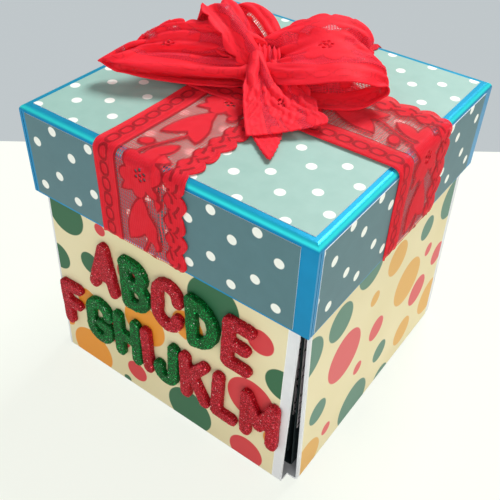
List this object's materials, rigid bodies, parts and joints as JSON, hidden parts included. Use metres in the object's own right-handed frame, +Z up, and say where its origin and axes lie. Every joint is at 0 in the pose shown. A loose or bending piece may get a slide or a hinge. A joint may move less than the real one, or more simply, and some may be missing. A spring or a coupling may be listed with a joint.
{
  "type": "explosion box card",
  "caption": "Handmade folding card box: nested card crosses, glued papers, foam letters, and a lift-off lid tied with a lace ribbon and bow.",
  "frame": {"origin": "centre of the floor's underside, which stands on the table", "axes": "+Z up, the lid lifts along +Z; -Y is the wall with the foam letters; +X is to the right of it"},
  "size_m": [0.1104, 0.1121, 0.133],
  "materials": {
    "white_card": "smooth uncoated white card, cut edges showing",
    "black_card": "matt black card with a cool green cast",
    "spotted_paper": "cream craft paper printed with green, red and orange spots",
    "mauve_paper": "mauve craft paper with a dark line pattern",
    "plain_mat": "cream paper mat",
    "blue_card": "bright blue card, scored and folded",
    "dotted_paper": "teal craft paper with white dots",
    "red_lace": "soft nylon lace, open net with corded motifs",
    "red_glitter_foam": "foam covered in fine red glitter",
    "green_glitter_foam": "foam covered in fine green glitter"
  },
  "bodies": {
    "box": {"back_second_inner_mat": "plain_mat", "back_second_outer_mat": "mauve_paper", "back_third_inner_mat": "plain_mat", "back_third_outer_mat": "mauve_paper", "back_wall_liner": "mauve_paper", "back_wall_paper": "spotted_paper", "base_card": "white_card", "floor_mat": "plain_mat", "front_second_inner_mat": "plain_mat", "front_second_outer_mat": "mauve_paper", "front_third_inner_mat": "plain_mat", "front_third_outer_mat": "mauve_paper", "front_wall_liner": "mauve_paper", "front_wall_paper": "spotted_paper", "left_second_inner_mat": "plain_mat", "left_second_outer_mat": "mauve_paper", "left_third_inner_mat": "plain_mat", "left_third_outer_mat": "mauve_paper", "left_wall_liner": "mauve_paper", "left_wall_paper": "spotted_paper", "letter_A": "red_glitter_foam", "letter_B": "green_glitter_foam", "letter_C": "red_glitter_foam", "letter_D": "green_glitter_foam", "letter_E": "red_glitter_foam", "letter_F": "red_glitter_foam", "letter_G": "green_glitter_foam", "letter_H": "green_glitter_foam", "letter_I": "red_glitter_foam", "letter_J": "green_glitter_foam", "letter_K": "red_glitter_foam", "letter_L": "red_glitter_foam", "letter_M": "red_glitter_foam", "right_second_inner_mat": "plain_mat", "right_second_outer_mat": "mauve_paper", "right_third_inner_mat": "plain_mat", "right_third_outer_mat": "mauve_paper", "right_wall_liner": "mauve_paper", "right_wall_paper": "spotted_paper", "second_layer_card": "black_card", "third_layer_card": "black_card"},
    "lid": {"back_lid_paper": "dotted_paper", "front_back_lace": "red_lace", "front_lid_paper": "dotted_paper", "lace_bow": "red_lace", "left_lid_paper": "dotted_paper", "left_right_lace": "red_lace", "lid_card": "blue_card", "lid_top_paper": "dotted_paper", "right_lid_paper": "dotted_paper"}
  },
  "joints": [
    {"name": "lid_lift", "type": "slide", "parent": "box", "child": "lid", "axis": [0, 0, 1], "range_m": [0, 0.06]}
  ]
}
